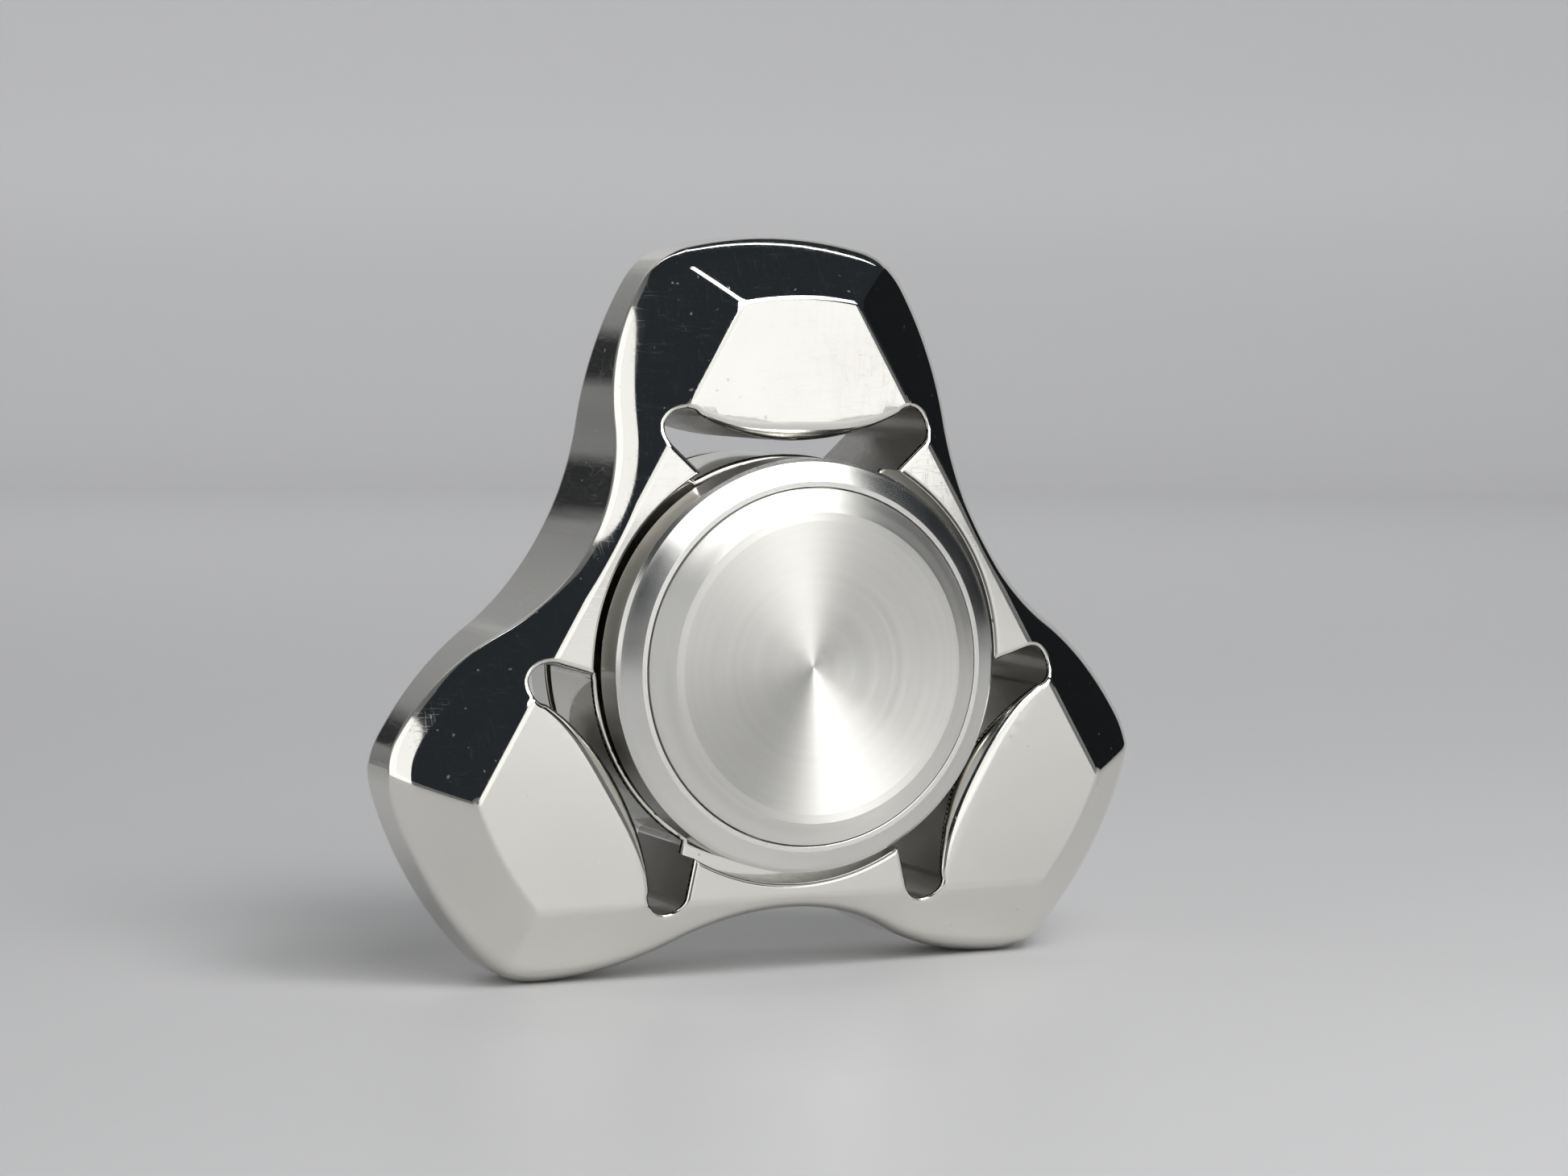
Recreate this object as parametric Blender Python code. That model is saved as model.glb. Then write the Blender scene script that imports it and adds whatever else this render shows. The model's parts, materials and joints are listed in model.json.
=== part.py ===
"""Three-lobed stainless fidget spinner with a 22 x 8 x 7 mm ball bearing.

Metres, +Z up.  The spin axis is the Y axis, the front faces -Y, and the origin is the
centre of the bearing.  The spinner stands on its two lower lobes with one lobe straight up.
"""
import math

import bmesh
import bpy
from mathutils import Matrix, Vector
from mathutils.geometry import delaunay_2d_cdt, intersect_point_line

MM = 0.001

# ---- Driving dimensions: three-lobed frame ------------------------------------------------
LOBES = 3
FRAME_THICKNESS = 11.7 * MM
LOBE_END_RADIUS = 25.7 * MM       # end walls of the lobes, an arc about the spin axis
WAIST_DISTANCE = 14.95 * MM       # narrowest place of the outline, between two lobes
WAIST_RADIUS = 14.7 * MM          # hollow arc of the waist
WAIST_TILT = math.radians(1.15)   # lean of the outline where the waist meets the lobe side
LOBE_SIDE_RADIUS = 17.35 * MM     # slightly full side of a lobe
LOBE_CORNER_RADIUS = 4.75 * MM

FLAT_SIDE_DISTANCE = 14.1 * MM    # edge of the flat face along its three straight sides
FLAT_END_RADIUS = 22.0 * MM       # edge of the flat face at the lobe ends
SIDE_BEVEL_ANGLE = math.radians(35.0)
END_BEVEL_ANGLE = math.radians(41.0)
EDGE_BREAK = 0.4 * MM             # small chamfer between the bevels and the walls

# ---- Driving dimensions: crescent slots and bearing housing -------------------------------
SLOT_BELLY_RADIUS = 14.1 * MM     # outer edge of the slot, bulging towards the hub
SLOT_BELLY_CENTRE = 27.5 * MM
SLOT_END_RADIUS = 1.25 * MM
SLOT_END_X = 7.4 * MM
SLOT_END_Y = 14.15 * MM
SLOT_SHOULDER_ANGLE = math.radians(42.6)
HUB_RADIUS = 12.55 * MM
RECESS_RADIUS = 13.3 * MM
CLEARANCE = 0.3 * MM              # air left between neighbouring pieces

# ---- Driving dimensions: bearing ----------------------------------------------------------
BEARING_RADIUS = 11.0 * MM
BEARING_BORE_RADIUS = 4.0 * MM
BEARING_WIDTH = 7.0 * MM
PITCH_RADIUS = 7.5 * MM
BALL_RADIUS = 3.969 / 2 * MM
BALLS = 7
GROOVE_PLAY = 0.25 * MM
INNER_LAND_RADIUS = 6.0 * MM
OUTER_LAND_RADIUS = 9.0 * MM
SHIELD_SEAT_RADIUS = 9.55 * MM
SHIELD_SEAT_DEPTH = 1.2 * MM
SHIELD_THICKNESS = 0.25 * MM
SNAP_RING_SIZE = 0.4 * MM
SNAP_RING_GAP = math.radians(24.0)
CAGE_INNER_RADIUS = 6.5 * MM
CAGE_OUTER_RADIUS = 8.45 * MM
CAGE_THICKNESS = 0.25 * MM
CAGE_PLAY = 0.18 * MM             # air round a ball in its pocket, some of it lost to flat facets
CAGE_STEPS_PER_BALL = 16
CAGE_ROWS = 5

# ---- Driving dimensions: finger buttons, heights measured out from the frame's flat face --
BUTTON_RADIUS = 12.45 * MM
BUTTON_EDGE_HEIGHT = 1.1 * MM
BUTTON_CHAMFER = 0.22 * MM
BUTTON_RIM_HEIGHT = 1.95 * MM
BUTTON_LEDGE_OUTER = 11.1 * MM
POCKET_RADIUS = 10.77 * MM
POCKET_FLOOR_HEIGHT = 0.4 * MM
BUTTON_SKIRT_DEPTH = 1.3 * MM
SHOULDER_RADIUS = 5.6 * MM
INSERT_EDGE_HEIGHT = 2.15 * MM
INSERT_LAND_OUTER = 9.3 * MM
INSERT_LAND_INNER = 8.78 * MM
INSERT_LAND_HEIGHT = 2.8 * MM
DISH_DEPTH = 0.95 * MM
STUD_RADIUS = 2.0 * MM
STUD_LENGTH = 9.6 * MM
STUD_CHAMFER = 0.4 * MM

ROUND_STEPS = 48
FACE_Y = FRAME_THICKNESS / 2
HALF_BEARING = BEARING_WIDTH / 2
MERGE_DISTANCE = 1e-7
SAME_SPOT = 1e-6
RIDGE_STEPS = 6
SIDE_ANGLES = [math.radians(30 + i * 360 / LOBES) for i in range(LOBES)]


def clear_scene():
    for old in list(bpy.data.objects):
        bpy.data.objects.remove(old, do_unlink=True)


def metal(name, colour, roughness, metallic=1.0):
    material = bpy.data.materials.new(name)
    material.use_nodes = True
    shader = material.node_tree.nodes["Principled BSDF"]
    shader.inputs["Base Color"].default_value = (*colour, 1.0)
    shader.inputs["Metallic"].default_value = metallic
    shader.inputs["Roughness"].default_value = roughness
    material.diffuse_color = (*colour, 1.0)
    return material


def add_object(name, mesh, parent=None, material=None, smooth=True):
    obj = bpy.data.objects.new(name, mesh)
    bpy.context.scene.collection.objects.link(obj)
    if material:
        obj.data.materials.append(material)
    if smooth:
        mesh.shade_smooth()
        mesh.set_sharp_from_angle(angle=math.radians(30))
    if parent:
        obj.parent = parent
    return obj


def mesh_from(bm, name):
    bmesh.ops.recalc_face_normals(bm, faces=bm.faces)
    mesh = bpy.data.meshes.new(name)
    bm.to_mesh(mesh)
    bm.free()
    return mesh


def turned(name, profile, steps=ROUND_STEPS, sweep=math.tau):
    """Mesh turned about the Y axis from a profile of (radius, y) points.

    A profile that starts and ends on the axis stays open there; any other one is closed.
    """
    bm = bmesh.new()
    ring = [bm.verts.new((radius, y, 0.0)) for radius, y in profile]
    edges = [bm.edges.new(pair) for pair in zip(ring, ring[1:])]
    if profile[0][0] > 0:
        edges.append(bm.edges.new((ring[-1], ring[0])))
    full = sweep >= math.tau
    result = bmesh.ops.spin(bm, geom=ring + edges, cent=(0, 0, 0), axis=(0, 1, 0),
                            angle=sweep, steps=steps, use_merge=full)
    if not full:
        last = [item for item in result["geom_last"] if isinstance(item, bmesh.types.BMEdge)]
        bmesh.ops.contextual_create(bm, geom=edges)
        bmesh.ops.contextual_create(bm, geom=last)
    bmesh.ops.remove_doubles(bm, verts=bm.verts, dist=MERGE_DISTANCE)
    return mesh_from(bm, name)


def arc(centre, radius, start, end, steps):
    """Points of an arc between two angles, both ends included."""
    sweep = [start + (end - start) * i / steps for i in range(steps + 1)]
    return [centre + radius * Vector((math.cos(a), math.sin(a))) for a in sweep]


def angle_of(vector):
    return math.atan2(vector.y, vector.x)


def half_lobe_outline():
    """Outline from the tip of a lobe that points along +Y (2-D) down to the waist."""
    waist_axis = Vector((math.cos(math.pi / 6), math.sin(math.pi / 6)))
    waist_centre = (WAIST_DISTANCE + WAIST_RADIUS) * waist_axis
    lean = Vector((math.cos(WAIST_TILT), math.sin(WAIST_TILT)))
    side_start = waist_centre - WAIST_RADIUS * lean
    side_centre = side_start - LOBE_SIDE_RADIUS * lean

    # The corner arc lies inside the end circle and the side circle and touches both.
    to_axis = LOBE_END_RADIUS - LOBE_CORNER_RADIUS
    to_side = LOBE_SIDE_RADIUS - LOBE_CORNER_RADIUS
    gap = side_centre.length
    along = (to_axis ** 2 - to_side ** 2 + gap ** 2) / (2 * gap)
    across = math.sqrt(to_axis ** 2 - along ** 2)
    unit = side_centre / gap
    normal = Vector((unit.y, -unit.x))
    corner_centre = along * unit + across * normal
    end_angle = angle_of(corner_centre)
    corner_side_angle = angle_of(corner_centre - side_centre)

    origin = Vector((0.0, 0.0))
    points = arc(origin, LOBE_END_RADIUS, math.pi / 2, end_angle, 3)
    points += arc(corner_centre, LOBE_CORNER_RADIUS, end_angle, corner_side_angle, 6)[1:]
    points += arc(side_centre, LOBE_SIDE_RADIUS, corner_side_angle, WAIST_TILT, 5)[1:]
    waist_end = math.pi + math.pi / 6
    points += arc(waist_centre, WAIST_RADIUS, math.pi + WAIST_TILT, waist_end, 6)[1:]
    return points


def frame_outline():
    half = half_lobe_outline()
    mirrored = [Vector((-p.x, p.y)) for p in half]
    lobe = list(reversed(mirrored))[1:] + half[1:]
    outline = []
    for i in range(LOBES):
        turn = Matrix.Rotation(-i * math.tau / LOBES, 2)
        outline += [turn @ p for p in lobe]
    return outline


def slot_outline():
    """Crescent slot of the upper lobe: belly, round ends, 45-degree shoulders, hub arc."""
    end_centre = Vector((SLOT_END_X, SLOT_END_Y))
    belly_centre = Vector((0.0, SLOT_BELLY_CENTRE))
    to_end = angle_of(end_centre - belly_centre)
    shoulder_normal = SLOT_SHOULDER_ANGLE - math.pi / 2

    belly = arc(belly_centre, SLOT_BELLY_RADIUS, -math.pi / 2, to_end, 5)
    end = arc(end_centre, SLOT_END_RADIUS, to_end + math.pi, shoulder_normal, 6)
    slope = Vector((math.cos(SLOT_SHOULDER_ANGLE), math.sin(SLOT_SHOULDER_ANGLE)))
    start = end[-1]
    across = start.dot(slope)
    run = across - math.sqrt(across ** 2 - start.length_squared + HUB_RADIUS ** 2)
    foot = start - run * slope
    hub = arc(Vector((0, 0)), HUB_RADIUS, angle_of(foot), math.pi / 2, 5)
    half = belly[:-1] + end + hub
    mirrored = [Vector((-p.x, p.y)) for p in half]
    return half + list(reversed(mirrored))[1:-1]


def circle(radius, steps):
    return [radius * Vector((math.cos(i * math.tau / steps), math.sin(i * math.tau / steps)))
            for i in range(steps)]


def shrunk(loop, distance):
    """Clockwise loop moved inwards by a distance, point by point."""
    moved = []
    for before, here, after in zip(loop[-1:] + loop[:-1], loop, loop[1:] + loop[:1]):
        tangent = (after - before).normalized()
        moved.append(here + distance * Vector((tangent.y, -tangent.x)))
    return moved


def inside(point, loop):
    """True if the point lies inside the closed loop, by counting edge crossings."""
    crossings = 0
    for a, b in zip(loop, loop[1:] + loop[:1]):
        if (a.y > point.y) != (b.y > point.y):
            x = a.x + (b.x - a.x) * (point.y - a.y) / (b.y - a.y)
            crossings += x > point.x
    return crossings % 2 == 1


def lies_on(point, loop):
    """True if the point is a corner of the closed loop or lies on one of its sides."""
    for a, b in zip(loop, loop[1:] + loop[:1]):
        foot, share = intersect_point_line(point, a, b)
        if 0.0 <= share <= 1.0 and (point - foot.xy).length < SAME_SPOT:
            return True
    return False


def bevel_drop(point):
    """How far the beveled face lies below the flat face at a point."""
    side = max(point.dot(Vector((math.cos(a), math.sin(a)))) for a in SIDE_ANGLES)
    side_drop = (side - FLAT_SIDE_DISTANCE) * math.tan(SIDE_BEVEL_ANGLE)
    end_drop = (point.length - FLAT_END_RADIUS) * math.tan(END_BEVEL_ANGLE)
    return max(0.0, side_drop, end_drop)


def flat_edges():
    """Open chains of points: the flat face's edges and the ridges between the bevels."""
    chains = []
    half_side = math.sqrt(FLAT_END_RADIUS ** 2 - FLAT_SIDE_DISTANCE ** 2)
    for angle in SIDE_ANGLES:
        normal = Vector((math.cos(angle), math.sin(angle)))
        along = Vector((-normal.y, normal.x))
        foot = FLAT_SIDE_DISTANCE * normal
        chains.append([foot - half_side * along, foot + half_side * along])
        for sign in (-1, 1):
            ridge = []
            for step in range(RIDGE_STEPS + 1):
                drop = FACE_Y * step / RIDGE_STEPS
                distance = FLAT_SIDE_DISTANCE + drop / math.tan(SIDE_BEVEL_ANGLE)
                radius = FLAT_END_RADIUS + drop / math.tan(END_BEVEL_ANGLE)
                run = math.sqrt(radius ** 2 - distance ** 2)
                ridge.append(distance * normal + sign * run * along)
            chains.append(ridge)
    half_end = math.pi / LOBES - math.acos(FLAT_SIDE_DISTANCE / FLAT_END_RADIUS)
    for i in range(LOBES):
        tip = math.pi / 2 + i * math.tau / LOBES
        chains.append(arc(Vector((0, 0)), FLAT_END_RADIUS, tip - half_end, tip + half_end, 6))
    return chains


def build_frame(parent, material):
    """Flat frame laid out as one triangulated plan, lifted to its height on both faces."""
    outline = frame_outline()
    slots = []
    for i in range(LOBES):
        turn = Matrix.Rotation(i * math.tau / LOBES, 2)
        slots.append([turn @ p for p in slot_outline()])
    bore = circle(BEARING_RADIUS + CLEARANCE, ROUND_STEPS)
    recess = circle(RECESS_RADIUS, 2 * ROUND_STEPS)
    loops = [outline, shrunk(outline, EDGE_BREAK), bore, recess] + slots

    points = []
    edges = []
    for chain in loops + flat_edges():
        first = len(points)
        points += [p / MM for p in chain]
        edges += [(first + i, first + i + 1) for i in range(len(chain) - 1)]
        if chain in loops:
            edges.append((first + len(chain) - 1, first))
    plan = delaunay_2d_cdt(points, edges, [], 0, SAME_SPOT / MM, False)
    spots = [p * MM for p in plan[0]]

    def height(index, sunk):
        spot = spots[index]
        if sunk:
            return HALF_BEARING
        broken = lies_on(spot, outline)
        return FACE_Y - bevel_drop(spot) - (EDGE_BREAK if broken else 0.0)

    zones = {}
    for face in plan[2]:
        centre = sum((spots[i] for i in face), Vector((0, 0))) / len(face)
        if inside(centre, outline) and not any(inside(centre, gap) for gap in slots + [bore]):
            zones[tuple(face)] = inside(centre, recess)

    bm = bmesh.new()
    made = {}

    def vertex(index, sunk, sign):
        key = (index, sunk, sign)
        if key not in made:
            spot = spots[index]
            made[key] = bm.verts.new((spot.x, sign * height(index, sunk), spot.y))
        return made[key]

    users = {}
    levels = {}
    for face, sunk in zones.items():
        for sign in (-1, 1):
            corners = [vertex(i, sunk, sign) for i in face]
            bm.faces.new(corners if sign > 0 else reversed(corners))
        for pair in zip(face, face[1:] + face[:1]):
            users.setdefault(frozenset(pair), []).append((pair, sunk))
        for i in face:
            levels.setdefault(i, set()).add(sunk)

    def column(index, sunk):
        """Vertices down one upright edge of a wall, front to back."""
        steps = [sunk] if sunk or len(levels[index]) == 1 else [False, True]
        front = [vertex(index, step, -1) for step in steps]
        return front + [vertex(index, step, 1) for step in reversed(steps)]

    for uses in users.values():
        (start, end), sunk = uses[0]
        if len(uses) == 1:
            bm.faces.new(column(start, sunk) + list(reversed(column(end, sunk))))
        elif uses[0][1] != uses[1][1]:
            for sign in (-1, 1):
                bm.faces.new([vertex(start, False, sign), vertex(end, False, sign),
                              vertex(end, True, sign), vertex(start, True, sign)])
    add_object("rotor_body", mesh_from(bm, "rotor_body"), parent, material)


def ball_track(edge_radius, steps=6):
    """Ball groove as (radius, y) points from its front edge to its back edge."""
    track = BALL_RADIUS + GROOVE_PLAY
    outward = math.copysign(1, edge_radius - PITCH_RADIUS)
    half = math.acos(abs(edge_radius - PITCH_RADIUS) / track)
    angles = [half * (2 * i / steps - 1) for i in range(steps + 1)]
    return [(PITCH_RADIUS + outward * track * math.cos(a), track * math.sin(a)) for a in angles]


def build_races(rotor, grip, steel):
    seat_y = HALF_BEARING - SHIELD_SEAT_DEPTH
    profile = [(BEARING_RADIUS, HALF_BEARING), (BEARING_RADIUS, -HALF_BEARING),
               (SHIELD_SEAT_RADIUS, -HALF_BEARING), (SHIELD_SEAT_RADIUS, -seat_y),
               (OUTER_LAND_RADIUS, -seat_y)]
    profile += ball_track(OUTER_LAND_RADIUS)
    profile += [(OUTER_LAND_RADIUS, seat_y), (SHIELD_SEAT_RADIUS, seat_y),
                (SHIELD_SEAT_RADIUS, HALF_BEARING)]
    add_object("bearing_outer_race", turned("bearing_outer_race", profile), rotor, steel)

    profile = [(BEARING_BORE_RADIUS, HALF_BEARING), (BEARING_BORE_RADIUS, -HALF_BEARING),
               (INNER_LAND_RADIUS, -HALF_BEARING)]
    profile += ball_track(INNER_LAND_RADIUS)
    profile += [(INNER_LAND_RADIUS, HALF_BEARING)]
    add_object("bearing_inner_race", turned("bearing_inner_race", profile), grip, steel)


def build_shields(rotor, steel, spring_steel):
    seat_y = HALF_BEARING - SHIELD_SEAT_DEPTH + CLEARANCE
    inner = INNER_LAND_RADIUS + CLEARANCE
    outer = SHIELD_SEAT_RADIUS - CLEARANCE
    ring_y = seat_y + SHIELD_THICKNESS + 0.5 * CLEARANCE
    for side, sign in (("front", -1), ("back", 1)):
        near = sign * seat_y
        far = sign * (seat_y + SHIELD_THICKNESS)
        profile = [(inner, near), (outer, near), (outer, far), (inner, far)]
        name = f"bearing_shield_{side}"
        add_object(name, turned(name, profile), rotor, steel)
        near = sign * ring_y
        far = sign * (ring_y + SNAP_RING_SIZE)
        profile = [(outer - SNAP_RING_SIZE, near), (outer, near), (outer, far),
                   (outer - SNAP_RING_SIZE, far)]
        name = f"shield_snap_ring_{side}"
        mesh = turned(name, profile, ROUND_STEPS - 4, math.tau - SNAP_RING_GAP)
        add_object(name, mesh, rotor, spring_steel)


def build_balls(cage, steel):
    bm = bmesh.new()
    bmesh.ops.create_icosphere(bm, subdivisions=2, radius=BALL_RADIUS)
    mesh = mesh_from(bm, "bearing_ball")
    for i in range(BALLS):
        angle = math.pi / 2 + i * math.tau / BALLS
        ball = add_object(f"bearing_ball_{i + 1}", mesh, cage)
        ball.location = (PITCH_RADIUS * math.cos(angle), 0, PITCH_RADIUS * math.sin(angle))
    mesh.materials.append(steel)


def cage_height(radius, angle, reach, floor):
    """Height of the ribbon over the plane of the balls: a dome at each ball, flat between."""
    pitch = math.tau / BALLS
    nearest = math.pi / 2 + round((angle - math.pi / 2) / pitch) * pitch
    distance = math.hypot(radius * math.cos(angle) - PITCH_RADIUS * math.cos(nearest),
                          radius * math.sin(angle) - PITCH_RADIUS * math.sin(nearest))
    dome = reach ** 2 - distance ** 2
    return max(floor, math.sqrt(dome)) if dome > 0 else floor


def build_cage(cage, steel):
    """Two pressed ribbons that meet between the balls and cup each ball from both sides."""
    columns = CAGE_STEPS_PER_BALL * BALLS
    row_width = (CAGE_OUTER_RADIUS - CAGE_INNER_RADIUS) / (CAGE_ROWS - 1)
    radii = [CAGE_INNER_RADIUS + row_width * k for k in range(CAGE_ROWS)]
    inside = BALL_RADIUS + CAGE_PLAY
    floor = 0.5 * CLEARANCE
    for side, sign in (("front", -1), ("back", 1)):
        bm = bmesh.new()
        sheets = []
        for reach, base in ((inside, floor), (inside + CAGE_THICKNESS, floor + CAGE_THICKNESS)):
            sheet = []
            for i in range(columns):
                angle = math.pi / 2 + i * math.tau / columns
                sheet.append([bm.verts.new((r * math.cos(angle),
                                            sign * cage_height(r, angle, reach, base),
                                            r * math.sin(angle))) for r in radii])
            sheets.append(sheet)
        under, over = sheets
        last = len(radii) - 1
        for i in range(columns):
            j = (i + 1) % columns
            for k in range(last):
                bm.faces.new((under[i][k], under[j][k], under[j][k + 1], under[i][k + 1]))
                bm.faces.new((over[i][k], over[i][k + 1], over[j][k + 1], over[j][k]))
            bm.faces.new((under[i][0], over[i][0], over[j][0], under[j][0]))
            bm.faces.new((under[i][last], under[j][last], over[j][last], over[i][last]))
        name = f"bearing_cage_{side}_half"
        add_object(name, mesh_from(bm, name), cage, steel)


def button_profile(sign):
    """Button cup: conical rim, pocket for the insert, shoulder and boss with a blind hole."""
    def at(height):
        return sign * (FACE_Y + height)

    boss_radius = BEARING_BORE_RADIUS - CLEARANCE
    boss_end = sign * CLEARANCE
    shoulder_y = sign * (HALF_BEARING + CLEARANCE)
    hole_radius = STUD_RADIUS + CLEARANCE
    hole_y = sign * (STUD_LENGTH / 2 + CLEARANCE)
    return [(0, at(POCKET_FLOOR_HEIGHT)), (POCKET_RADIUS, at(POCKET_FLOOR_HEIGHT)),
            (POCKET_RADIUS, at(BUTTON_RIM_HEIGHT)), (BUTTON_LEDGE_OUTER, at(BUTTON_RIM_HEIGHT)),
            (BUTTON_RADIUS - BUTTON_CHAMFER, at(BUTTON_EDGE_HEIGHT + BUTTON_CHAMFER)),
            (BUTTON_RADIUS, at(BUTTON_EDGE_HEIGHT)), (BUTTON_RADIUS, at(-BUTTON_SKIRT_DEPTH)),
            (SHOULDER_RADIUS, at(-BUTTON_SKIRT_DEPTH)), (SHOULDER_RADIUS, shoulder_y),
            (boss_radius, shoulder_y), (boss_radius, boss_end), (hole_radius, boss_end),
            (hole_radius, hole_y), (0, hole_y)]


def insert_profile(sign):
    """Disc in the button's pocket: conical edge, narrow flat land and shallow dish."""
    def at(height):
        return sign * (FACE_Y + height)

    edge = POCKET_RADIUS - CLEARANCE
    floor = POCKET_FLOOR_HEIGHT + CLEARANCE
    return [(0, at(floor)), (edge, at(floor)), (edge, at(INSERT_EDGE_HEIGHT)),
            (INSERT_LAND_OUTER, at(INSERT_LAND_HEIGHT)),
            (INSERT_LAND_INNER, at(INSERT_LAND_HEIGHT)),
            (0, at(INSERT_LAND_HEIGHT - DISH_DEPTH))]


def build_buttons(grip, polished, turned_steel, dark_steel):
    for side, sign in (("front", -1), ("back", 1)):
        name = f"{side}_button"
        add_object(name, turned(name, button_profile(sign)), grip, polished)
        name = f"{side}_button_insert"
        add_object(name, turned(name, insert_profile(sign)), grip, turned_steel)
    end = STUD_LENGTH / 2
    neck = STUD_RADIUS - STUD_CHAMFER
    profile = [(0, -end), (neck, -end), (STUD_RADIUS, STUD_CHAMFER - end),
               (STUD_RADIUS, end - STUD_CHAMFER), (neck, end), (0, end)]
    add_object("axle_stud", turned("axle_stud", profile, ROUND_STEPS // 2), grip, dark_steel)


def main():
    clear_scene()
    polished = metal("polished_stainless", (0.78, 0.78, 0.76), 0.07)
    turned_steel = metal("turned_stainless", (0.74, 0.74, 0.71), 0.28)
    bearing_steel = metal("bearing_steel", (0.66, 0.67, 0.68), 0.15)
    pressed_steel = metal("pressed_steel", (0.60, 0.60, 0.60), 0.35)
    dark_steel = metal("dark_steel", (0.23, 0.23, 0.24), 0.40)

    axes = {}
    for name in ("grip_axis", "rotor_axis", "cage_axis"):
        axes[name] = add_object(name, None, smooth=False)
    build_frame(axes["rotor_axis"], polished)
    build_races(axes["rotor_axis"], axes["grip_axis"], bearing_steel)
    build_shields(axes["rotor_axis"], pressed_steel, dark_steel)
    build_balls(axes["cage_axis"], bearing_steel)
    build_cage(axes["cage_axis"], pressed_steel)
    build_buttons(axes["grip_axis"], polished, turned_steel, dark_steel)


main()
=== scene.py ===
"""Looks of the fidget spinner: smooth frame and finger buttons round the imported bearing.

The spin axis is the Y axis, the front faces -Y and the spinner stands on its two lower lobes.
"""
import json
import math

import bmesh
import bpy
import numpy as np
from mathutils import Matrix, Vector
from mathutils.geometry import delaunay_2d_cdt


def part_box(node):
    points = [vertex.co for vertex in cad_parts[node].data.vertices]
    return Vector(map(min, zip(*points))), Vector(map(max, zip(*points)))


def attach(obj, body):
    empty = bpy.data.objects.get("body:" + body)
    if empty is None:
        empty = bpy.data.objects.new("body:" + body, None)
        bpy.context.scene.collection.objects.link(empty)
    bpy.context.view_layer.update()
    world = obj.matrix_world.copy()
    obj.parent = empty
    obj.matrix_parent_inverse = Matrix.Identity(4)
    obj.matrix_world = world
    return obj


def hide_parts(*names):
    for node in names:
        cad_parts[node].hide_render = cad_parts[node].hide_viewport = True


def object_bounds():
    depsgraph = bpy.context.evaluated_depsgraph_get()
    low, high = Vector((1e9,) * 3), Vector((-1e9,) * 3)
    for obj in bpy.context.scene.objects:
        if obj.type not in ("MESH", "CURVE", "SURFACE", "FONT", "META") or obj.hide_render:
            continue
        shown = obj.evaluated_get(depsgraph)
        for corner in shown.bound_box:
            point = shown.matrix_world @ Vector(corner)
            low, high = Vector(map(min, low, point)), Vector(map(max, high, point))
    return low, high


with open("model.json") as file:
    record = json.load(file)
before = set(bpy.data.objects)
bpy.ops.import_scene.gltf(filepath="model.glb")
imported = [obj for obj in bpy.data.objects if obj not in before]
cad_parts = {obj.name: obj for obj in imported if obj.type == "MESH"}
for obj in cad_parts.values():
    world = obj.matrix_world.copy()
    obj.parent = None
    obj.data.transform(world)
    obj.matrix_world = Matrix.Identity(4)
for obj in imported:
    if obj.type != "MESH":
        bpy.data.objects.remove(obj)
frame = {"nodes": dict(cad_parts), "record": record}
CAD_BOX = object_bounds()
MM = 0.001

# ---- Frame outline, in millimetres ---------------------------------------------------------
LOBES = 3
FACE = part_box("rotor_body")[1].y / MM
LOBE_END_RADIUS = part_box("rotor_body")[1].z / MM
WAIST_DISTANCE = 14.95
WAIST_RADIUS = 14.7
WAIST_TILT = math.radians(1.15)
LOBE_SIDE_RADIUS = 17.35
LOBE_CORNER_RADIUS = 4.75
FLAT_SIDE_DISTANCE = 14.1
FLAT_END_RADIUS = 22.0
SIDE_SLOPE = math.tan(math.radians(35.0))
END_SLOPE = math.tan(math.radians(41.0))
SLOT_BELLY_RADIUS = 14.1
SLOT_BELLY_CENTRE = 27.5
SLOT_END_RADIUS = 1.25
SLOT_END = (7.4, 14.15)
SLOT_SHOULDER_ANGLE = math.radians(42.6)
HUB_RADIUS = 12.55
HUB_FACE = 3.5
RECESS_RADIUS = 13.3
BORE_RADIUS = 11.3

# ---- How the frame's edges are broken, in millimetres --------------------------------------
OUTLINE_ROUND = 1.1
SLOT_ROUND = 0.35
BELLY_ROUND = 1.2                 # middle of the slot's bulging edge, fading towards its ends
RECESS_ROUND = 0.25
RIDGE_BLEND = 0.2                 # height over which two neighbouring facets melt together
BLEND_SHARES = (-1.0, -0.5, 0.0, 0.5, 1.0)
RIDGE_STEPS = 12                  # points down the ridge between a side and an end bevel
RIDGE_STEP_DROP = 0.4
ROUND_RINGS = 6                   # rings of points that follow a rounded edge
PLAN_SPACING = 0.8                # distance between points laid out over the flat areas
CURVE_SPACING = 0.3               # distance between points along the curved edges
SLOPE_STEP = 0.002                # distance over which the surface's slope is measured
SAME_SPOT = 1e-3                  # points closer than this count as one

SIDE_ANGLES = [math.radians(30 + i * 360 / LOBES) for i in range(LOBES)]
# Milled faces (slot walls, recess step) are rougher, a real milled finish, and their colour is
# darkened: painted shade inside the slots and the recess.
POLISHED, MILLED_AND_SHADED = 0, 1           # finishes of the frame's faces
ORIGIN = Vector((0.0, 0.0))

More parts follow.
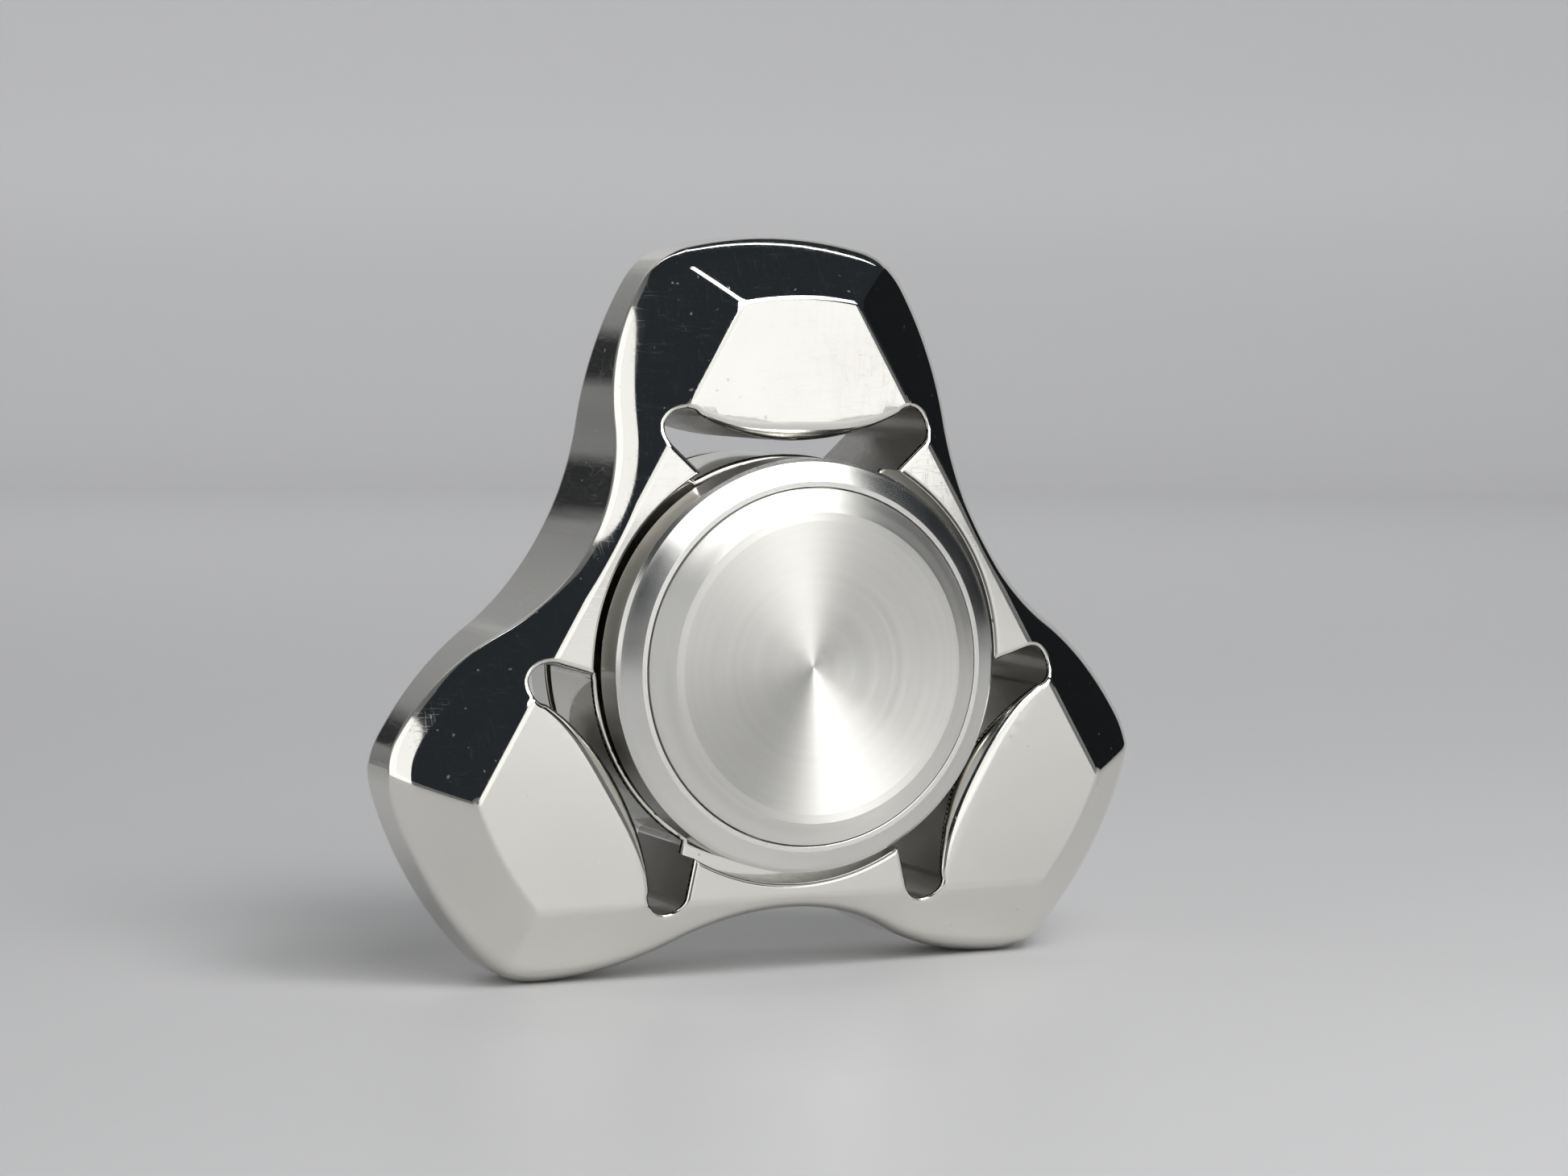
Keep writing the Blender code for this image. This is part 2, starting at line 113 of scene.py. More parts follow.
# ---- Finger buttons, in millimetres: radii, and heights over the mid plane -----------------
TURN_STEPS = 256                  # sides of the turned pieces
CORNER_STEPS = 5                  # sides of a rounded corner of a profile
ON_AXIS = 1e-6                    # a radius below this is the axis itself
RIM_RADIUS = 12.45
RIM_UNDERSIDE = 4.55
RIM_SIDE_TOP = 6.95               # where the rim's upright side ends
RIM_CONE_FOOT = (12.23, 7.17)
RIM_CONE_TOP = (11.1, 7.8)
POCKET_RADIUS = 10.77             # pocket that holds the dished disc
POCKET_FLOOR = 6.25
SHOULDER_RADIUS = 5.6             # shoulder that rests on the bearing's inner race
SHOULDER_END = 3.8
BOSS_RADIUS = 3.7                 # boss inside the inner race
BOSS_END = 0.3
STUD_HOLE_RADIUS = 2.3
STUD_HOLE_TOP = 5.1
DISC_RADIUS = 10.69
DISC_UNDERSIDE = 6.55
DISC_FACE = 8.65
DISC_FACE_RADIUS = 9.3
DISC_CONE_FOOT = 7.88             # where the disc's upright side ends
DISH_RADIUS = 8.78
DISH_FLOOR = 7.7
CONE_EDGE = 0.06                  # rounding radii of the profiles' corners
SIDE_EDGE = 0.08
UNDERSIDE_EDGE = 0.15
STEP_EDGE = 0.1
DISC_EDGE = 0.04


# ---- Plan of the frame ---------------------------------------------------------------------
def arc(centre, radius, start, end, spacing=CURVE_SPACING):
    """Points of an arc between two angles, both ends included."""
    steps = max(2, math.ceil(abs(end - start) * radius / spacing))
    sweep = [start + (end - start) * i / steps for i in range(steps + 1)]
    return [centre + radius * Vector((math.cos(a), math.sin(a))) for a in sweep]


def angle_of(vector):
    return math.atan2(vector.y, vector.x)


def half_lobe_outline():
    """Outline from the tip of a lobe that points up, clockwise down to the waist."""
    waist_axis = Vector((math.cos(math.pi / 6), math.sin(math.pi / 6)))
    waist_centre = (WAIST_DISTANCE + WAIST_RADIUS) * waist_axis
    lean = Vector((math.cos(WAIST_TILT), math.sin(WAIST_TILT)))
    side_centre = waist_centre - (WAIST_RADIUS + LOBE_SIDE_RADIUS) * lean

    # The corner arc lies inside the end circle and the side circle and touches both.
    to_axis = LOBE_END_RADIUS - LOBE_CORNER_RADIUS
    to_side = LOBE_SIDE_RADIUS - LOBE_CORNER_RADIUS
    gap = side_centre.length
    along = (to_axis ** 2 - to_side ** 2 + gap ** 2) / (2 * gap)
    across = math.sqrt(to_axis ** 2 - along ** 2)
    unit = side_centre / gap
    corner_centre = along * unit + across * Vector((unit.y, -unit.x))
    end_angle = angle_of(corner_centre)
    side_angle = angle_of(corner_centre - side_centre)
    waist_end = math.pi + math.pi / 6

    points = arc(ORIGIN, LOBE_END_RADIUS, math.pi / 2, end_angle)
    points += arc(corner_centre, LOBE_CORNER_RADIUS, end_angle, side_angle)[1:]
    points += arc(side_centre, LOBE_SIDE_RADIUS, side_angle, WAIST_TILT)[1:]
    points += arc(waist_centre, WAIST_RADIUS, math.pi + WAIST_TILT, waist_end)[1:]
    return points


def turned_copies(points):
    """The points turned onto every lobe, clockwise from the upper one."""
    turns = [Matrix.Rotation(-i * math.tau / LOBES, 2) for i in range(LOBES)]
    return [[turn @ p for p in points] for turn in turns]


def frame_outline():
    half = half_lobe_outline()
    mirrored = [Vector((-p.x, p.y)) for p in half]
    lobe = list(reversed(mirrored))[1:] + half[1:]
    return [p for copy in turned_copies(lobe) for p in copy]


def slot_outline():
    """Crescent slot of the upper lobe: belly, round ends, slanted shoulders, hub arc."""
    end_centre = Vector(SLOT_END)
    belly_centre = Vector((0.0, SLOT_BELLY_CENTRE))
    to_end = angle_of(end_centre - belly_centre)
    shoulder_normal = SLOT_SHOULDER_ANGLE - math.pi / 2

    belly = arc(belly_centre, SLOT_BELLY_RADIUS, -math.pi / 2, to_end)
    end = arc(end_centre, SLOT_END_RADIUS, to_end + math.pi, shoulder_normal, CURVE_SPACING / 2)
    slope = Vector((math.cos(SLOT_SHOULDER_ANGLE), math.sin(SLOT_SHOULDER_ANGLE)))
    start = end[-1]
    across = start.dot(slope)
    run = across - math.sqrt(across ** 2 - start.length_squared + HUB_RADIUS ** 2)
    foot = start - run * slope
    shoulder = straight(start, foot)[1:-1]
    hub = arc(ORIGIN, HUB_RADIUS, angle_of(foot), math.pi / 2)
    half = belly[:-1] + end + shoulder + hub
    mirrored = [Vector((-p.x, p.y)) for p in half]
    return half + list(reversed(mirrored))[1:-1]


def straight(a, b, spacing=CURVE_SPACING):
    steps = max(1, math.ceil((b - a).length / spacing))
    return [a.lerp(b, i / steps) for i in range(steps + 1)]


def shifted(loop, distance):
    """Closed loop moved to its right-hand side by a distance, point by point."""
    moved = []
    for before, here, after in zip(loop[-1:] + loop[:-1], loop, loop[1:] + loop[:1]):
        tangent = (after - before).normalized()
        moved.append(here + distance * Vector((tangent.y, -tangent.x)))
    return moved


def ring_offsets(radius):
    """Distances from an edge at which a quarter round turns by equal angles."""
    turns = [math.pi / 2 * i / ROUND_RINGS for i in range(1, ROUND_RINGS + 1)]
    return [radius * (1 - math.cos(turn)) for turn in turns]


def facet_lines():
    """Lines along which the flat face, the side bevels and the end bevels melt together."""
    chains = []
    for angle in SIDE_ANGLES:
        normal = Vector((math.cos(angle), math.sin(angle)))
        along = Vector((-normal.y, normal.x))
        for share in BLEND_SHARES:
            foot = (FLAT_SIDE_DISTANCE + share * RIDGE_BLEND / SIDE_SLOPE) * normal
            half = math.sqrt(FLAT_END_RADIUS ** 2 - foot.length_squared) + RIDGE_BLEND
            chains.append(straight(foot - half * along, foot + half * along, PLAN_SPACING))
            for sign in (-1, 1):
                chains.append(ridge_line(normal, sign * along, share * RIDGE_BLEND))
    half_end = math.pi / LOBES - math.acos(FLAT_SIDE_DISTANCE / FLAT_END_RADIUS)
    for i in range(LOBES):
        tip = math.pi / 2 + i * math.tau / LOBES
        for share in BLEND_SHARES:
            radius = FLAT_END_RADIUS + share * RIDGE_BLEND / END_SLOPE
            chains.append(arc(ORIGIN, radius, tip - half_end, tip + half_end, PLAN_SPACING))
    return chains


def ridge_line(normal, along, lead):
    """Where the side bevel lies deeper than the end bevel by a lead, from flat to wall."""
    chain = []
    for step in range(RIDGE_STEPS):
        drop = RIDGE_BLEND + RIDGE_STEP_DROP * step
        distance = FLAT_SIDE_DISTANCE + (drop + lead / 2) / SIDE_SLOPE
        radius = FLAT_END_RADIUS + (drop - lead / 2) / END_SLOPE
        run = math.sqrt(radius ** 2 - distance ** 2)
        chain.append(distance * normal + run * along)
    return chain


# ---- Heights and directions of the frame's surface -----------------------------------------
def as_array(points):
    return np.array([(p.x, p.y) for p in points])


def inside(points, loop):
    """For each point, whether it lies inside the closed loop."""
    a = as_array(loop)
    b = np.roll(a, -1, axis=0)
    result = np.zeros(len(points), bool)
    for (ax, ay), (bx, by) in zip(a, b):
        if ay == by:
            continue
        spans = (ay > points[:, 1]) != (by > points[:, 1])
        x = ax + (bx - ax) * (points[:, 1] - ay) / (by - ay)
        result ^= spans & (x > points[:, 0])
    return result


def nearest(points, loop):
    """Distance from each point to the closed loop, and the loop's left-hand direction there."""
    a = as_array(loop)
    b = np.roll(a, -1, axis=0)
    best = np.full(len(points), np.inf)
    sideways = np.zeros((len(points), 2))
    for start, end in zip(a, b):
        run = end - start
        share = np.clip((points - start) @ run / (run @ run), 0, 1)
        gap = np.linalg.norm(points - start - share[:, None] * run, axis=1)
        closer = gap < best
        best = np.where(closer, gap, best)
        left = np.array([-run[1], run[0]]) / np.linalg.norm(run)
        sideways[closer] = left
    return best, sideways


def smooth_max(a, b, blend):
    overlap = np.clip(blend - np.abs(a - b), 0, None) / blend
    return np.maximum(a, b) + overlap ** 2 * blend / 4


def bevel_drop(points):
    """How far the bevels lie below the flat face."""
    normals = np.array([(math.cos(a), math.sin(a)) for a in SIDE_ANGLES])
    side = ((points @ normals.T).max(axis=1) - FLAT_SIDE_DISTANCE) * SIDE_SLOPE
    end = (np.linalg.norm(points, axis=1) - FLAT_END_RADIUS) * END_SLOPE
    return smooth_max(smooth_max(np.zeros(len(points)), side, RIDGE_BLEND), end, RIDGE_BLEND)


def edge_drop(distance, radius):
    """How far a quarter round of this radius lies below its face, at a distance inwards."""
    left = np.clip(radius - distance, 0, radius)
    return radius - np.sqrt(radius ** 2 - left ** 2)


def belly_round(across):
    """Rounding radius of the slot's belly at a distance from the middle of the lobe."""
    share = np.clip(1 - across / SLOT_END[0], 0, 1)
    return SLOT_ROUND + (BELLY_ROUND - SLOT_ROUND) * share * share * (3 - 2 * share)


def belly_line(offset_share):
    """Line along the upper slot's belly, inwards by a share of the rounding radius there."""
    to_end = math.atan2(SLOT_END[1] - SLOT_BELLY_CENTRE, SLOT_END[0])
    centre = Vector((0.0, SLOT_BELLY_CENTRE))
    line = arc(ORIGIN, SLOT_BELLY_RADIUS, -math.pi - to_end, to_end)
    return [centre + float(1 - offset_share * belly_round(abs(p.x)) / SLOT_BELLY_RADIUS) * p
            for p in line]


def belly_drop(points):
    """Rounding along the belly of each slot, widest in the middle."""
    drop = np.zeros(len(points))
    for i in range(LOBES):
        tip = math.pi / 2 - i * math.tau / LOBES
        lobe = np.array([math.cos(tip), math.sin(tip)])
        across = np.abs(points @ np.array([-lobe[1], lobe[0]]))
        gap = SLOT_BELLY_RADIUS - np.linalg.norm(points - SLOT_BELLY_CENTRE * lobe, axis=1)
        near = (across < SLOT_END[0]) & (gap > -SAME_SPOT)
        drop = np.where(near, edge_drop(gap, belly_round(across)), drop)
    return drop


class FramePlan:
    """Boundary loops of the frame and the height of its front surface over them."""

    def __init__(self):
        self.outline = frame_outline()
        self.slots = turned_copies(slot_outline())
        self.bore = arc(ORIGIN, BORE_RADIUS, math.tau, 0)[:-1]
        self.recess = arc(ORIGIN, RECESS_RADIUS, math.tau, 0)[:-1]

    def heights(self, points, sunk):
        """Height over the mid plane, on the recess floor where sunk is true."""
        to_slot = np.min([nearest(points, slot)[0] for slot in self.slots], axis=0)
        if sunk:
            to_bore = nearest(points, self.bore)[0]
            rounding = np.minimum(to_slot, to_bore)
            return HUB_FACE - edge_drop(rounding, RECESS_ROUND)
        to_outline = nearest(points, self.outline)[0]
        to_recess = np.abs(np.linalg.norm(points, axis=1) - RECESS_RADIUS)
        rounding = np.maximum.reduce([edge_drop(to_outline, OUTLINE_ROUND),
                                      edge_drop(to_slot, SLOT_ROUND),
                                      edge_drop(to_recess, RECESS_ROUND),
                                      belly_drop(points)])
        return FACE - bevel_drop(points) - rounding

    def normals(self, points, sunk):
        """Unit directions (x, out, z) of the front surface."""
        slopes = []
        for axis in (0, 1):
            shift = np.zeros(2)
            shift[axis] = SLOPE_STEP
            rise = self.heights(points + shift, sunk) - self.heights(points - shift, sunk)
            slopes.append(-rise / (2 * SLOPE_STEP))
        result = np.stack([slopes[0], np.ones(len(points)), slopes[1]], axis=1)
        for loop in [self.outline] + self.slots:
            gap, sideways = nearest(points, loop)
            edge = gap < SAME_SPOT
            result[edge] = np.stack([sideways[edge, 0], np.zeros(edge.sum()),
                                     sideways[edge, 1]], axis=1)
        return result / np.linalg.norm(result, axis=1)[:, None]

    def triangulate(self):
        """Points and triangles of the plan, with every edge line kept."""
        chains = [(self.outline, True), (self.bore, True), (self.recess, True)]
        chains += [(slot, True) for slot in self.slots]
        for offset in ring_offsets(OUTLINE_ROUND):
            chains.append((shifted(self.outline, offset), True))
        for offset in ring_offsets(SLOT_ROUND)[1::2]:
            chains += [(shifted(slot, -offset), True) for slot in self.slots]
        for share in ring_offsets(1.0):
            chains += [(copy, False) for copy in turned_copies(belly_line(share))]
        for offset in ring_offsets(RECESS_ROUND)[1::2]:
            chains.append((arc(ORIGIN, RECESS_RADIUS + offset, math.tau, 0)[:-1], True))
        chains += [(line, False) for line in facet_lines()]
        points = []
        edges = []
        for chain, closed in chains:
            first = len(points)
            points += chain
            edges += [(first + i, first + i + 1) for i in range(len(chain) - 1)]
            if closed:
                edges.append((first + len(chain) - 1, first))
        count = int(2 * LOBE_END_RADIUS / PLAN_SPACING)
        for i in range(count):
            for j in range(count):
                x = -LOBE_END_RADIUS + (i + 0.5 * (j % 2)) * PLAN_SPACING
                points.append(Vector((x, -LOBE_END_RADIUS + j * PLAN_SPACING)))
        plan = delaunay_2d_cdt(points, edges, [], 0, SAME_SPOT, False)
        spots = as_array(plan[0])
        faces = np.array([tuple(face) for face in plan[2]])
        centres = spots[faces].mean(axis=1)
        kept = inside(centres, self.outline) & ~inside(centres, self.bore)
        for slot in self.slots:
            kept &= ~inside(centres, slot)
        return spots, faces[kept], inside(centres[kept], self.recess)


class MeshParts:
    """Collects faces with a direction for every corner, then makes one mesh of them."""

    def __init__(self):
        self.points = []
        self.faces = []
        self.directions = []
        self.finishes = []

    def point(self, place):
        self.points.append(place)
        return len(self.points) - 1

    def face(self, corners, directions, finish=0):
        """Adds a face, turned so that it looks the way its corners' directions point."""
        places = [Vector(self.points[i]) for i in corners]
        facing = Vector((0, 0, 0))
        for a, b in zip(places, places[1:] + places[:1]):
            facing += a.cross(b)
        if facing.dot(sum((Vector(d) for d in directions), Vector((0, 0, 0)))) < 0:
            corners = list(reversed(corners))
            directions = list(reversed(directions))
        self.faces.append(corners)
        self.finishes.append(finish)
        self.directions += directions

    def build(self, name):
        mesh = bpy.data.meshes.new(name)
        mesh.from_pydata([tuple(c * MM for c in p) for p in self.points], [], self.faces)
        mesh.polygons.foreach_set("material_index", self.finishes)
        mesh.shade_smooth()
        mesh.normals_split_custom_set(self.directions)
        obj = bpy.data.objects.new(name, mesh)
        bpy.context.scene.collection.objects.link(obj)
        return obj


def build_frame():
    """The three-lobed frame: front and back surfaces, the walls between them, the recess."""
    plan = FramePlan()
    spots, faces, sunken = plan.triangulate()
    used = {sunk: np.unique(faces[sunken == sunk]) for sunk in (False, True)}
    heights = {sunk: dict(zip(ids, plan.heights(spots[ids], sunk))) for sunk, ids in used.items()}
    slants = {sunk: dict(zip(ids, plan.normals(spots[ids], sunk))) for sunk, ids in used.items()}
    parts = MeshParts()
    made = {}
    users = {}

    def vertex(index, sunk, sign):
        key = (index, sunk, sign)
        if key not in made:
            x, z = spots[index]
            made[key] = parts.point((x, sign * heights[sunk][index], z))
        return made[key]

    for face, sunk in zip(faces.tolist(), sunken.tolist()):
        for sign in (-1, 1):
            corners = [vertex(i, sunk, sign) for i in face]
            slopes = [tuple(slants[sunk][i] * (1, sign, 1)) for i in face]
            parts.face(corners, slopes, POLISHED)
        for pair in zip(face, face[1:] + face[:1]):
            users.setdefault(frozenset(pair), []).append((pair, sunk))

    def column(index, sunk):
        """Vertices down one upright edge of a wall, front to back."""
        levels = [sunk] if sunk or index not in heights[True] else [False, True]
        front = [vertex(index, level, -1) for level in levels]
        return front + [vertex(index, level, 1) for level in reversed(levels)]

    edge_ids = sorted({i for pair, uses in users.items() if len(uses) == 1 for i in pair})
    outward = {}
    finish = {}
    for loop in [plan.outline, plan.bore] + plan.slots:
        for index, gap, side in zip(edge_ids, *nearest(spots[edge_ids], loop)):
            if gap < SAME_SPOT:
                outward[index] = side
                on_hub = np.linalg.norm(spots[index]) < HUB_RADIUS + SAME_SPOT
                finish[index] = POLISHED if on_hub or loop is plan.outline else MILLED_AND_SHADED
    for uses in users.values():
        (start, end), sunk = uses[0]
        if len(uses) == 1:
            run = spots[end] - spots[start]
            away = np.array([run[1], -run[0]])
            columns = [(i, column(i, sunk)) for i in (start, end)]
            corners = columns[0][1] + list(reversed(columns[1][1]))
            walls = []
            for index, stack in columns:
                side = outward[index]
                side = side if side @ away > 0 else -side
                walls += [(side[0], 0.0, side[1])] * len(stack)
            parts.face(corners, walls, finish[start])
        elif uses[0][1] != uses[1][1]:
            for sign in (-1, 1):
                corners = [vertex(start, False, sign), vertex(end, False, sign),
                           vertex(end, True, sign), vertex(start, True, sign)]
                radial = [-spots[i] / np.linalg.norm(spots[i])
                          for i in (start, end, end, start)]
                parts.face(corners, [(r[0], 0.0, r[1]) for r in radial], MILLED_AND_SHADED)
    return parts.build("frame_three_lobes")


# ---- Turned pieces -------------------------------------------------------------------------
def rounded(corners):
    """Stretches (start, end, start direction, end direction) of a profile with its corners
    rounded. Corners are (radius, height, rounding radius); the first and last are plain."""
    points = [Vector(c[:2]) for c in corners]
    stretches = []
    last = points[0]
    for i in range(1, len(points)):
        before, here = points[i - 1], points[i]
        incoming = (here - before).normalized()
        side = Vector((-incoming.y, incoming.x))
        if i == len(points) - 1 or corners[i][2] == 0:
            stretches.append((last, here, side, side))
            last = here
            continue
        outgoing = (points[i + 1] - here).normalized()
        turn = incoming.angle_signed(outgoing)
        radius = corners[i][2]
        cut = radius * math.tan(abs(turn) / 2)
        entry = here - cut * incoming
        stretches.append((last, entry, side, side))
        bend = 1 if turn > 0 else -1
        centre = entry - bend * radius * side
        trail = [(entry, side)]
        for k in range(1, CORNER_STEPS + 1):
            spun = Matrix.Rotation(-turn * k / CORNER_STEPS, 2) @ side
            trail.append((centre + bend * radius * spun, spun))
        for (a, da), (b, db) in zip(trail, trail[1:]):
            stretches.append((a, b, da, db))
        last = trail[-1][0]
    return stretches


def turn_profile(name, corners, sign):
    """Turns a profile of (radius, height, rounding) about Y; sign -1 puts it at the front."""
    parts = MeshParts()
    rings = {}

    def ring(place):
        key = (round(place.x, 5), round(place.y, 5))
        if key not in rings:
            if place.x < ON_AXIS:
                rings[key] = [parts.point((0, sign * place.y, 0))] * TURN_STEPS
            else:
                rings[key] = [parts.point((place.x * math.cos(math.tau * k / TURN_STEPS),
                                           sign * place.y,
                                           place.x * math.sin(math.tau * k / TURN_STEPS)))
                              for k in range(TURN_STEPS)]
        return rings[key]

    for start, end, start_side, end_side in rounded(corners):
        first, second = ring(start), ring(end)
        for k in range(TURN_STEPS):
            nxt = (k + 1) % TURN_STEPS
            corner_ids = []
            directions = []
            for index, step, side in ((first[k], k, start_side), (second[k], k, end_side),
                                      (second[nxt], nxt, end_side), (first[nxt], nxt, start_side)):
                if index in corner_ids:
                    continue
                angle = math.tau * step / TURN_STEPS
                corner_ids.append(index)
                directions.append((side.x * math.cos(angle), sign * side.y,
                                   side.x * math.sin(angle)))
            if len(corner_ids) > 2:
                parts.face(corner_ids, directions)
    return parts.build(name)


def rim_profile():
    """Cup of the button: pocket for the disc, conical rim, and the boss in the bearing."""
    return [(0, POCKET_FLOOR, 0),
            (POCKET_RADIUS, POCKET_FLOOR, 0),
            (POCKET_RADIUS, RIM_CONE_TOP[1], CONE_EDGE),
            (*RIM_CONE_TOP, CONE_EDGE),
            (*RIM_CONE_FOOT, SIDE_EDGE),
            (RIM_RADIUS, RIM_SIDE_TOP, SIDE_EDGE),
            (RIM_RADIUS, RIM_UNDERSIDE, UNDERSIDE_EDGE),
            (SHOULDER_RADIUS, RIM_UNDERSIDE, STEP_EDGE),
            (SHOULDER_RADIUS, SHOULDER_END, 0),
            (BOSS_RADIUS, SHOULDER_END, 0),
            (BOSS_RADIUS, BOSS_END, STEP_EDGE),
            (STUD_HOLE_RADIUS, BOSS_END, 0),
            (STUD_HOLE_RADIUS, STUD_HOLE_TOP, 0),
            (0, STUD_HOLE_TOP, 0)]


def dish_profile():
    """Disc in the middle of the button, dished like a shallow cone."""
    return [(0, DISH_FLOOR, 0),
            (DISH_RADIUS, DISC_FACE, 0),
            (DISC_FACE_RADIUS, DISC_FACE, CONE_EDGE),
            (DISC_RADIUS, DISC_CONE_FOOT, DISC_EDGE),
            (DISC_RADIUS, DISC_UNDERSIDE, STEP_EDGE),
            (0, DISC_UNDERSIDE, 0)]


def build_buttons():
    """Rim and dish of both finger buttons, each with its kind."""
    pieces = []
    for side, sign in (("front", -1), ("back", 1)):
        for kind, profile, node in (("button_rim", rim_profile(), "button"),
                                    ("button_dish", dish_profile(), "button_insert")):
            obj = turn_profile(f"{side}_{kind}", profile, sign)
            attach(obj, "grip")
            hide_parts(f"{side}_{node}")
            pieces.append((obj, kind))
    return pieces


# ---- Materials -----------------------------------------------------------------------------
class Nodes:
    """Short way to add and join shader nodes of one material."""

    def __init__(self, name, colour, roughness, metallic=1.0):
        self.material = bpy.data.materials.new(name)
        self.material.use_nodes = True
        self.tree = self.material.node_tree
        self.shader = self.tree.nodes["Principled BSDF"]
        self.shader.inputs["Base Color"].default_value = (*colour, 1.0)
        self.shader.inputs["Roughness"].default_value = roughness
        self.shader.inputs["Metallic"].default_value = metallic

    def add(self, kind, links=None, **settings):
        node = self.tree.nodes.new(kind)
        for key, value in settings.items():
            if hasattr(node, key):
                setattr(node, key, value)
            else:
                node.inputs[key.replace("_", " ")].default_value = value
        for socket, source in (links or {}).items():
            self.tree.links.new(source, node.inputs[socket])
        return node

    def place(self):
        return self.add("ShaderNodeTexCoord").outputs["Object"]

    def noise(self, vector, scale, detail=3.0, **settings):
        node = self.add("ShaderNodeTexNoise", {"Vector": vector}, Scale=scale, Detail=detail,
                        **settings)
        return node.outputs["Fac"]

    def remap(self, value, given, wanted):
        """Carries a value from the given (low, high) range over to the wanted one."""
        node = self.add("ShaderNodeMapRange", {"Value": value}, From_Min=given[0],
                        From_Max=given[1], To_Min=wanted[0], To_Max=wanted[1])
        return node.outputs["Result"]

    def math(self, operation, first, second=0.0):
        node = self.add("ShaderNodeMath", operation=operation)
        for socket, value in zip(node.inputs, (first, second)):
            if isinstance(value, (int, float)):
                socket.default_value = value
            else:
                self.tree.links.new(value, socket)
        return node.outputs[0]

    def stretched(self, vector, scale, rotation):
        node = self.add("ShaderNodeMapping", {"Vector": vector}, Scale=scale, Rotation=rotation)
        return node.outputs["Vector"]

    def bump(self, height, strength, distance):
        node = self.add("ShaderNodeBump", {"Height": height}, Strength=strength,
                        Distance=distance)
        return node.outputs["Normal"]

    def join(self, socket, source):
        self.tree.links.new(source, self.shader.inputs[socket])


NOISE_MIDDLE = 0.5                # a noise spreads about this value
NOISE_SPAN = (0.3, 0.7)           # and stays mostly within this range


def scratches(nodes, place, scale, rotation, width):
    """Thin long marks: the contour lines of a stretched noise."""
    field = nodes.noise(nodes.stretched(place, scale, rotation), 1.0, 2.0)
    away = nodes.math("ABSOLUTE", nodes.math("SUBTRACT", field, NOISE_MIDDLE))
    return nodes.remap(away, (0.0, width), (1.0, 0.0))


def two_tones(nodes, factor, first, second):
    """Base colour that wanders between two tones."""
    tint = nodes.add("ShaderNodeMix", {"Factor": factor}, data_type="RGBA")
    tint.inputs["A"].default_value = (*first, 1)
    tint.inputs["B"].default_value = (*second, 1)
    nodes.join("Base Color", tint.outputs["Result"])


def scaled(colour, share):
    return [channel * share for channel in colour]


def polished_steel():
    """Mirror-like steel with a faint grain, thin scratches, nicks and patches of handling."""
    scratch_wear = 0.08
    nick_wear = 0.20
    grain_height = 0.3
    scratch_depth = 0.5
    nodes = Nodes("polished_steel", (0.82, 0.80, 0.745), 0.06)
    place = nodes.place()
    handling = nodes.noise(place, 180.0, 4.0)
    marks = scratches(nodes, place, scale=(260, 260, 2400), rotation=(0.0, 0.6, 0.3),
                      width=0.012)
    more = scratches(nodes, place, scale=(2200, 200, 240), rotation=(0.4, -0.5, 0.9),
                     width=0.010)
    both = nodes.math("MAXIMUM", marks, more)
    nicks = nodes.remap(nodes.noise(place, 1900.0, 1.0), (0.73, 0.77), (0.0, 1.0))
    worn = nodes.math("ADD", nodes.math("MULTIPLY", both, scratch_wear),
                      nodes.math("MULTIPLY", nicks, nick_wear))
    polish = nodes.remap(handling, (0.3, 0.75), (0.035, 0.10))
    nodes.join("Roughness", nodes.math("ADD", polish, worn))
    grain = nodes.noise(nodes.stretched(place, (500, 900, 9000), (0.0, 0.75, 0.0)), 1.0, 3.0)
    height = nodes.math("SUBTRACT", nodes.math("MULTIPLY", grain, grain_height),
                        nodes.math("MULTIPLY", both, scratch_depth))
    nodes.join("Normal", nodes.bump(height, strength=0.13, distance=0.000004))
    two_tones(nodes, handling, (0.84, 0.825, 0.78), (0.77, 0.755, 0.705))
    return nodes.material


def radius_of(nodes, place):
    """Distance from the spin axis."""
    flat = nodes.add("ShaderNodeVectorMath", {0: place}, operation="MULTIPLY")
    flat.inputs[1].default_value = (1, 0, 1)
    length = nodes.add("ShaderNodeVectorMath", {0: flat.outputs["Vector"]}, operation="LENGTH")
    return length.outputs["Value"]


def turned_steel(name, colour, roughness, anisotropy, grain_strength):
    """Steel faced on a lathe: its rings spread highlights outwards from the spin axis."""
    nodes = Nodes(name, colour, roughness)
    place = nodes.place()
    radius = radius_of(nodes, place)
    wide = nodes.add("ShaderNodeTexNoise", {"W": nodes.math("MULTIPLY", radius, 1400.0)},
                     noise_dimensions="1D", Scale=1.0, Detail=2.0).outputs["Fac"]
    blotches = nodes.noise(place, 350.0, 4.0)
    base = nodes.remap(wide, NOISE_SPAN, (roughness - 0.03, roughness + 0.03))
    patches = nodes.remap(blotches, NOISE_SPAN, (-0.02, 0.02))
    nodes.join("Roughness", nodes.math("ADD", base, patches))
    grain = nodes.noise(place, 3200.0, 3.0)
    nodes.join("Normal", nodes.bump(grain, grain_strength, distance=0.00001))
    two_tones(nodes, wide, scaled(colour, 1.04), scaled(colour, 0.96))
    nodes.shader.inputs["Anisotropic"].default_value = anisotropy
    nodes.shader.inputs["Anisotropic Rotation"].default_value = 0.25
    tangent = nodes.add("ShaderNodeTangent", direction_type="RADIAL", axis="Y")
    nodes.join("Tangent", tangent.outputs["Tangent"])
    return nodes.material


